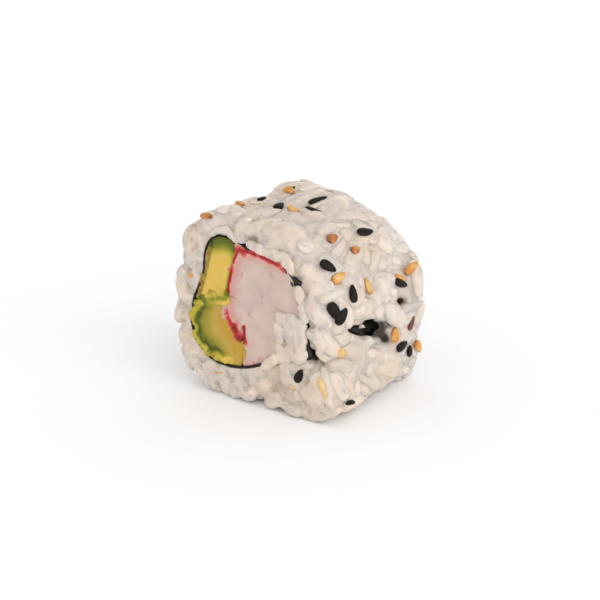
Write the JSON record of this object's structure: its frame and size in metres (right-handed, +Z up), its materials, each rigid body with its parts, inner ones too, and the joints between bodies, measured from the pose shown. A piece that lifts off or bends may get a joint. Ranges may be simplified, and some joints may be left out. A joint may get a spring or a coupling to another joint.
{
  "type": "uramaki roll",
  "caption": "One cut piece of inside-out sushi roll: seeded rice round nori, avocado and crab stick, resting on its flattened side to serve or eat.",
  "frame": {"origin": "centre of the bounding box's bottom, on the flat underside the piece rests on", "axes": "+Z up, roll axis along Y with the cut ends at -Y and +Y; seen from -Y the avocado is on the left (-X) and the crab stick on the right (+X)"},
  "size_m": [0.0398, 0.0322, 0.0388],
  "materials": {
    "rice": "moist boiled short-grain rice, pale cream, soft sheen",
    "nori": "damp toasted seaweed sheet, green-black, dull sheen",
    "avocado": "ripe cut avocado, yellow flesh with a green edge, moist",
    "surimi": "white crab stick with a thin red skin, moist",
    "sesame": "black and toasted golden sesame seeds, satin"
  },
  "bodies": {
    "root": {"rice": "rice", "nori": "nori", "avocado_upper": "avocado", "avocado_lower": "avocado", "surimi_upper": "surimi", "surimi_lower": "surimi"}
  },
  "joints": []
}
